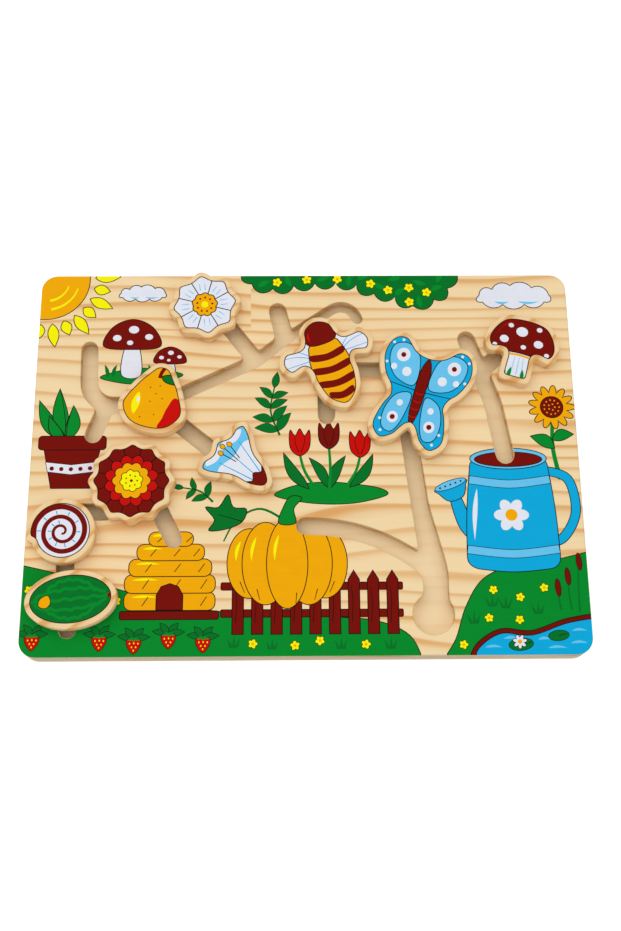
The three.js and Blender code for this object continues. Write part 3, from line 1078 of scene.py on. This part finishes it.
def pine(name, early, late, spacing, cut, turn=0.0, strength=1.0, seam=None, edge_shades=None):
    """Pine cut from a place in the wood, with growth lines along X, of the given strength.

    The seam is the near right corner of a glued-in length with other grain, and the edge shades are the
    painted shade of the outer edges and of the slot walls, which also stands for their darker cut grain.
    """
    material, tree, place = start_material(name)
    sockets = {"Vector": place, "Location": cut, "Rotation": (0, 0, -turn)}
    grain = add_node(tree, "Mapping", sockets).outputs[0]
    ring, tone = growth_lines(tree, place, grain, spacing, seam)
    darkness = ring_darkness(tree, ring)
    patches = stretched_noise(tree, grain, PATCH_SCALE)
    amount = math_node(tree, "MULTIPLY", darkness, span(tree, patches, 0, LINE_STRENGTH * strength))
    fibres = stretched_noise(tree, grain, FIBRE_SCALE, detail=3.0, roughness=0.6)
    colour = mix_colours(tree, amount, (*early, 1), (*late, 1))
    colour = varied(tree, colour, span(tree, fibres, *FIBRE_BRIGHTNESS), span(tree, tone, *TONE_BRIGHTNESS))
    # Painted shade on upright faces, which also stands for their darker cut grain
    if edge_shades is not None:
        colour = painted_edge_shade(tree, place, colour, *edge_shades)
    height = math_node(tree, "ADD", fibres, math_node(tree, "MULTIPLY", amount, LINE_RELIEF))
    add_bumpy_surface(tree, colour, span(tree, fibres, *WOOD_ROUGHNESS), height, bump=0.12, specular=0.22)
    return material


def ink_material(name, colour):
    """Opaque screen-printing ink that lets a little of the grain show through."""
    material, tree, place = start_material(name)
    fibres = stretched_noise(tree, place, INK_FIBRE_SCALE, detail=3.0, roughness=0.6)
    mottle = stretched_noise(tree, place, INK_MOTTLE_SCALE, detail=3.0)
    brightness = [span(tree, noise, *INK_BRIGHTNESS) for noise in (fibres, mottle)]
    colour = varied(tree, (*colour, 1), *brightness)
    add_bumpy_surface(tree, colour, span(tree, mottle, *INK_ROUGHNESS), fibres, bump=0.07, specular=0.05)
    return material


def ink_materials(settings):
    """Materials of all the inks, made once."""
    found = {}
    for name in INK_NAMES:
        found[name] = bpy.data.materials.get("ink_" + name)
        if found[name] is None:
            found[name] = ink_material("ink_" + name, getattr(settings.inks, name))
    return found


# What the frame says


def joint_place(name):
    """Place of a joint's axis, in millimetres."""
    for joint in frame["joints"]:
        if joint["name"] == name:
            return complex(joint["pos_m"][0], joint["pos_m"][1]) / MM
    raise ValueError("no joint named " + name)


def closed_loops(follow, starts):
    """Closed loops through a table of what follows what, begun at the given places."""
    loops = []
    for start in starts:
        if start not in follow:
            continue
        loops.append([start])
        place = follow.pop(start)
        while place != start:
            loops[-1].append(place)
            place = follow.pop(place)
    return loops


def wall_loops(node, level):
    """Closed outlines, in millimetres, of a CAD node's upright walls where they meet a level in metres."""
    mesh = frame["nodes"][node].data
    follow = {}
    for polygon in mesh.polygons:
        if abs(polygon.normal.z) > UPRIGHT:
            continue
        for ends in pairs([mesh.vertices[index].co for index in polygon.vertices]):
            if all(abs(end.z - level) < ON_LEVEL * MM for end in ends):
                first, second = (complex(round(end.x / MM, 3), round(end.y / MM, 3)) for end in ends)
                if first != second:
                    follow[first] = second
    return closed_loops(follow, list(follow)[::-1])


def hole_loops(node):
    """Outlines of the openings in a plate of the board."""
    low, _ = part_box(node)
    return sorted(wall_loops(node, low.z), key=area_of)[:-1]


def plate_outline(node, corner):
    """Outline of a plate of the board, in millimetres."""
    low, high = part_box(node)
    return block(low.x / MM, low.y / MM, high.x / MM, high.y / MM, corner, steps=12)


# Meshes


def regions(loops):
    """Triangles between closed outlines: points, corners, outlines around each and sources of points."""
    points = []
    faces = []
    for loop in loops:
        faces.append(list(range(len(points), len(points) + len(loop))))
        points.extend(Vector((point.real, point.imag)) for point in loop)
    made = delaunay_2d_cdt(points, [], faces, 1, SNAP, True)
    corners = [complex(*point) for point in made[0]]
    triangles = []
    for triangle in made[2]:
        outline = [corners[index] for index in triangle]
        triangles.append(list(triangle) if area_of(outline) > 0 else list(triangle)[::-1])
    return corners, triangles, made[5], made[3]


def rim_loops(triangles):
    """Loops of corners along the rim of a set of triangles, with the triangles to the left."""
    edges = set()
    for triangle in triangles:
        edges.update(pairs(triangle))
    follow = {start: end for start, end in edges if (end, start) not in edges}
    return closed_loops(follow, sorted(follow))


def rounded_edge(radius, top, steps, printed=0):
    """Rows of a rounded upper edge: step outwards, level, and whether the print runs onto it."""
    rows = []
    for step in range(1, steps + 1):
        angle = math.pi / 2 * step / steps
        rows.append((radius * math.sin(angle), top - radius * (1 - math.cos(angle)), step <= printed))
    return rows


def rounded_foot(radius, bottom, steps):
    """Rows of a rounded lower edge."""
    rows = []
    for step in range(steps + 1):
        angle = math.pi / 2 * step / steps
        rows.append((radius * math.cos(angle), bottom + radius * (1 - math.sin(angle)), False))
    return rows


def inked(loops, sheet):
    """Triangles within the first outline: their points, corners, inks and the outlines around each one."""
    corners, triangles, owners, _ = regions(loops + [points for _, points in sheet.shapes])
    kept = []
    inks = []
    arounds = []
    for triangle, around in zip(triangles, owners):
        if 0 not in around:
            continue
        topmost = max(around) - len(loops)
        kept.append(triangle)
        inks.append(sheet.shapes[topmost][0] if topmost >= 0 else BARE)
        arounds.append(around)
    return corners, kept, inks, arounds


def slotted_face(outline, holes, sheet):
    """Printed face with holes: points, triangles and the ink of each triangle."""
    loops = [outline] + [anticlockwise(hole) for hole in holes]
    corners, triangles, inks, arounds = inked(loops, sheet)
    openings = set(range(1, len(loops)))
    solid = [index for index, around in enumerate(arounds) if openings.isdisjoint(around)]
    return corners, [triangles[index] for index in solid], [inks[index] for index in solid]


def framed_face(outline, ring, sheet):
    """Printed face with a bare border, inside which a line runs round the print."""
    corners, triangles, inks, arounds = inked(ring, sheet)
    inks = [ink if 1 in around else "line" for ink, around in zip(inks, arounds)]
    edge = rim_loops(triangles)[0]
    numbers = list(range(len(corners), len(corners) + len(outline))) + edge
    _, border, owners, sources = regions([outline, [corners[index] for index in edge]])
    for triangle, around in zip(border, owners):
        if list(around) == [0]:
            triangles.append([numbers[sources[index][0]] for index in triangle])
            inks.append(BARE)
    return corners + outline, triangles, inks


def add_row(solid, points, level):
    """Vertices at one level."""
    return [solid.verts.new((point.real * MM, point.imag * MM, level * MM)) for point in points]


def add_band(solid, upper, lower):
    """Smooth wall between two rows of vertices."""
    band = []
    for (above, next_above), (below, next_below) in zip(pairs(upper), pairs(lower)):
        band.append(solid.faces.new((next_above, above, below, next_below)))
        band[-1].smooth = True
    return band


def printed_block(name, face, top, outer_rows, hole_rows, socket=None):
    """A flat block whose upper face carries a print, and the inks of its material slots.

    The face is its points, triangles and inks. The rows lead from its rims down to the lower face, and the
    socket is a blind round hole in the lower face: its middle, diameter and depth.
    """
    corners, triangles, inks = face
    slots = [BARE] + sorted(set(inks) - {BARE})
    edge_slot = {}
    for triangle, ink in zip(triangles, inks):
        for edge in pairs(triangle):
            edge_slot[edge] = slots.index(ink)

    solid = bmesh.new()
    vertices = {}
    for triangle, ink in zip(triangles, inks):
        for index in triangle:
            if index not in vertices:
                vertices[index] = add_row(solid, [corners[index]], top)[0]
        solid.faces.new([vertices[index] for index in triangle]).material_index = slots.index(ink)
    feet = []
    for loop in rim_loops(triangles):
        points = [corners[index] for index in loop]
        steps = outward(points)
        row = [vertices[index] for index in loop]
        for reach, level, printed in outer_rows if area_of(points) > 0 else hole_rows:
            places = [point + step * reach for point, step in zip(points, steps)]
            below = add_row(solid, places, level)
            for wall, edge in zip(add_band(solid, row, below), pairs(loop)):
                wall.material_index = edge_slot[edge] if printed else 0
            row = below
        feet.append((places, row))
    close_underside(solid, feet, outer_rows[-1][1], socket)
    bmesh.ops.remove_doubles(solid, verts=solid.verts, dist=JOINED * MM)
    data = bpy.data.meshes.new(name)
    solid.to_mesh(data)
    solid.free()
    made = bpy.data.objects.new(name, data)
    bpy.context.scene.collection.objects.link(made)
    return made, slots


def close_underside(solid, feet, bottom, socket):
    """Fills the lower face between the feet of the walls, with an optional blind hole in it."""
    loops = [places for places, _ in feet]
    rows = [row for _, row in feet]
    if socket is not None:
        centre, diameter, depth = socket
        mouth = oval(centre, diameter, steps=SOCKET_SIDES)[::-1]
        loops.append(mouth)
        rows.append(add_row(solid, mouth, bottom))
        roof = add_row(solid, mouth, bottom + depth)
    corners = []
    for loop, row in zip(loops, rows):
        corners += row if area_of(loop) > 0 else row[::-1]
    _, triangles, owners, sources = regions([anticlockwise(loop) for loop in loops])
    outer = max(range(len(loops)), key=lambda index: area_of(loops[index]))
    for triangle, around in zip(triangles, owners):
        if list(around) == [outer] and all(sources[index] for index in triangle):
            solid.faces.new([corners[sources[index][0]] for index in reversed(triangle)])
    if socket is not None:
        add_band(solid, roof, rows[-1])
        solid.faces.new(roof)
    for row in rows:
        for ends in pairs(row):
            edge = solid.edges.get(ends)
            if edge is not None:
                edge.smooth = False


def dress(piece, slots, bare, inks):
    """Gives a printed block its materials, in the order of its slots."""
    for slot in slots:
        piece.data.materials.append(bare if slot == BARE else inks[slot])


def set_material(node, material):
    """Puts a material on a CAD node."""
    data = frame["nodes"][node].data
    data.materials.clear()
    data.materials.append(material)


# Operators


class PUZZLE_OT_board(bpy.types.Operator):
    """Builds the printed face board with its slots"""

    bl_idname = "puzzle.board"
    bl_label = "Build printed board"

    def execute(self, context):
        settings = context.scene.puzzle
        wood = settings.wood
        lip = settings.sizes.lip_round / MM
        edge = settings.sizes.board_round / MM
        low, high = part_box("top_plate")
        bottom, top = low.z / MM, high.z / MM
        outline = grown(plate_outline("top_plate", settings.sizes.board_corner / MM), -edge)
        walls = [relaxed(even(loop[::-1], spacing=0.9), rounds=5) for loop in hole_loops("top_plate")]
        holes = [relaxed(untangled(grown(wall, lip)), rounds=1) for wall in walls]
        face = slotted_face(outline, holes, board_picture(settings.sizes.line_width / MM))
        outer_rows = rounded_edge(edge, top, steps=4, printed=3) + [(edge, bottom, False)]
        hole_rows = rounded_edge(lip, top, steps=3, printed=1) + [(lip, bottom, False)]
        piece, slots = printed_block("printed_board", face, top, outer_rows, hole_rows)
        colours = (wood.early, wood.late, wood.ring_spacing)
        # The face board's outer sides and slot walls get painted shade
        bare = pine("pine_face", *colours, FACE_CUT, seam=SEAM, edge_shades=(SAWN_EDGE_SHADE, SLOT_WALL_SHADE))
        dress(piece, slots, bare, ink_materials(settings))
        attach(piece, "board")
        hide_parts("top_plate")
        return {"FINISHED"}


class PUZZLE_OT_core(bpy.types.Operator):
    """Builds the channel plate and the back plate"""

    bl_idname = "puzzle.core"
    bl_label = "Build inner plates"

    def execute(self, context):
        settings = context.scene.puzzle
        wood = settings.wood
        corner = settings.sizes.board_corner / MM
        edge = settings.sizes.board_round / MM
        # Paler wood that paints light into the grooves
        colours = (wood.lit_core_early, wood.lit_core_late, wood.ring_spacing)
        # Painted shade on the outer sides of the inner plates, and none on their slot walls
        edge_shades = (SAWN_EDGE_SHADE, UNTINTED)
        low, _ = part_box("channel_plate")
        channel = pine("pine_channel", *colours, CHANNEL_CUT, edge_shades=edge_shades)
        rows = [(0, low.z / MM, False)]
        self.add_plate("channel_board", "channel_plate", corner, hole_loops("channel_plate"), rows, channel)
        low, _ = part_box("back_plate")
        back = pine("pine_back", *colours, BACK_CUT, turn=0.04, strength=0.3, edge_shades=edge_shades)
        rows = [(reach - edge, level, False) for reach, level, _ in rounded_foot(edge, low.z / MM, steps=3)]
        self.add_plate("back_board", "back_plate", corner, [], rows, back)
        return {"FINISHED"}

    def add_plate(self, name, node, corner, holes, rows, material):
        _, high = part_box(node)
        face = slotted_face(plate_outline(node, corner), holes, Sheet(0))
        piece, _ = printed_block(name, face, high.z / MM, rows, rows)
        piece.data.materials.append(material)
        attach(piece, "board")
        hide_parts(node)


class PUZZLE_OT_heads(bpy.types.Operator):
    """Builds the printed heads of the nine sliders"""

    bl_idname = "puzzle.heads"
    bl_label = "Build slider heads"

    def execute(self, context):
        settings = context.scene.puzzle
        wood = settings.wood
        edge = settings.sizes.head_round / MM
        border = settings.sizes.border / MM
        line = settings.sizes.line_width / MM
        inks = ink_materials(settings)
        colours = (wood.rim, wood.late, wood.ring_spacing)
        for number, (picture, ground, turn, shift) in HEADS.items():
            node = f"slider_{number}_head"
            axis = joint_place(f"turn_{number}")
            low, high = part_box(node)
            bottom, top = low.z / MM, high.z / MM
            rim = smooth(anticlockwise(wall_loops(node, low.z + HEAD_WALL * MM)[0]), steps=4)
            insets = [untangled(grown(rim, -inset)) for inset in (edge, border, border + line)]
            ring = [relaxed(even(loop, spacing=0.7), rounds=3) for loop in insets[1:]]
            sheet = Sheet(line, axis + shift, turn)
            sheet.fill(ground, oval(0, GROUND_WIDTH))
            picture(sheet)
            face = framed_face(insets[0], ring, sheet)
            rows = rounded_edge(edge, top, steps=5) + rounded_foot(edge, bottom, steps=3)
            socket = (axis, SOCKET_DIAMETER, SOCKET_DEPTH)
            piece, slots = printed_block(f"printed_head_{number}", face, top, rows, [], socket)
            cut = slider_cut(HEAD_CUT_STEP, number, HEAD_CUT_HEIGHT)
            grain_turn = math.radians(turn) + HEAD_GRAIN_TURN * number
            bare = pine(f"pine_head_{number}", *colours, cut, grain_turn, strength=1.2)
            dress(piece, slots, bare, inks)
            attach(piece, f"head_{number}")
            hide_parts(node)
        return {"FINISHED"}


class PUZZLE_OT_pegs(bpy.types.Operator):
    """Gives the pegs and feet of the sliders their wood"""

    bl_idname = "puzzle.pegs"
    bl_label = "Finish pegs and feet"

    def execute(self, context):
        wood = context.scene.puzzle.wood
        colours = (wood.dowel, wood.late, wood.ring_spacing / DOWEL_FINENESS)
        for number in HEADS:
            grain_turn = DOWEL_GRAIN_TURN * number
            for kind, height in (("peg", PEG_CUT_HEIGHT), ("foot", FOOT_CUT_HEIGHT)):
                cut = slider_cut(DOWEL_CUT_STEP, number, height)
                material = pine(f"dowel_{kind}_{number}", *colours, cut, grain_turn, strength=0.5)
                set_material(f"slider_{number}_{kind}", material)
        return {"FINISHED"}


class PUZZLE_OT_stage(bpy.types.Operator):
    """Builds the floor, the lights and the camera"""

    bl_idname = "puzzle.stage"
    bl_label = "Build stage"

    def execute(self, context):
        scene = context.scene
        stage = scene.puzzle.stage
        self.add_floor(scene, stage)
        self.add_world(scene, stage)
        self.add_light(scene, "key_light", stage.key_place, stage.key_size, stage.key_power)
        self.add_light(scene, "fill_light", stage.fill_place, stage.fill_size, stage.fill_power)
        self.add_camera(scene, stage)
        scene.view_settings.view_transform = "Standard"
        return {"FINISHED"}

    def add_floor(self, scene, stage):
        half = 12.0
        level = -0.0003
        data = bpy.data.meshes.new("floor")
        corners = [(-half, -half, level), (half, -half, level), (half, half, level), (-half, half, level)]
        data.from_pydata(corners, [], [(0, 1, 2, 3)])
        floor = bpy.data.objects.new("floor", data)
        scene.collection.objects.link(floor)
        material, tree, place = start_material("floor_paper")
        specks = span(tree, stretched_noise(tree, place, FLOOR_SPECK_SCALE), *FLOOR_BRIGHTNESS)
        colour = mix_colours(tree, 1.0, (*stage.floor, 1), specks, "MULTIPLY")
        add_surface(tree, {
            "Base Color": colour, "Roughness": 0.9, "Specular IOR Level": 0.0,
            "Emission Color": (1, 1, 1, 1), "Emission Strength": stage.floor_glow,
        })
        data.materials.append(material)

    def add_world(self, scene, stage):
        world = bpy.data.worlds.new("studio")
        world.use_nodes = True
        tree = world.node_tree
        tree.nodes.clear()
        surface = add_node(tree, "Background", {"Color": (1, 1, 1, 1), "Strength": stage.ambient}).outputs[0]
        add_node(tree, "OutputWorld", {"Surface": surface})
        scene.world = world

    def add_light(self, scene, name, place, size, power):
        data = bpy.data.lights.new(name, "AREA")
        data.size = size
        data.energy = power
        light = bpy.data.objects.new(name, data)
        light.location = place
        light.rotation_euler = (-place).to_track_quat("-Z", "Y").to_euler()
        scene.collection.objects.link(light)

    def add_camera(self, scene, stage):
        data = bpy.data.cameras.new("camera")
        data.sensor_width = 36
        data.lens = data.sensor_width * stage.focal_pixels / max(IMAGE_SIZE)
        data.clip_start = 0.01
        data.dof.use_dof = False
        forward = Vector((0, math.cos(stage.elevation), -math.sin(stage.elevation)))
        right = Vector((1, 0, 0))
        up = right.cross(forward)
        rolled_right = right * math.cos(stage.roll) - up * math.sin(stage.roll)
        rolled_up = right * math.sin(stage.roll) + up * math.cos(stage.roll)
        turned = Matrix.Rotation(-stage.yaw, 3, "Z")
        axes = Matrix((turned @ rolled_right, turned @ rolled_up, turned @ -forward)).transposed()
        camera = bpy.data.objects.new("camera", data)
        camera.matrix_world = Matrix.Translation(stage.position) @ axes.to_4x4()
        scene.collection.objects.link(camera)
        scene.camera = camera


class PUZZLE_PT_panel(bpy.types.Panel):
    """Settings and steps of the puzzle"""

    bl_idname = "PUZZLE_PT_panel"
    bl_label = "Sliding maze puzzle"
    bl_space_type = "VIEW_3D"
    bl_region_type = "UI"
    bl_category = "Puzzle"

    def draw(self, context):
        settings = context.scene.puzzle
        for title in PUZZLE_PG_settings.__annotations__:
            group = getattr(settings, title)
            box = self.layout.box()
            box.label(text=title.capitalize())
            for name in type(group).__annotations__:
                box.prop(group, name)
        for operator in OPERATORS:
            self.layout.operator(operator.bl_idname)


OPERATORS = (PUZZLE_OT_board, PUZZLE_OT_core, PUZZLE_OT_heads, PUZZLE_OT_pegs, PUZZLE_OT_stage)
GROUPS = (PUZZLE_PG_inks, PUZZLE_PG_wood, PUZZLE_PG_sizes, PUZZLE_PG_stage, PUZZLE_PG_settings)
CLASSES = GROUPS + OPERATORS + (PUZZLE_PT_panel,)


def register():
    for entry in CLASSES:
        bpy.utils.register_class(entry)
    bpy.types.Scene.puzzle = PointerProperty(type=PUZZLE_PG_settings)


def unregister():
    del bpy.types.Scene.puzzle
    for entry in reversed(CLASSES):
        bpy.utils.unregister_class(entry)


def main():
    register()
    bpy.ops.puzzle.board()
    bpy.ops.puzzle.core()
    bpy.ops.puzzle.heads()
    bpy.ops.puzzle.pegs()
    bpy.ops.puzzle.stage()


if __name__ == "__main__":
    main()
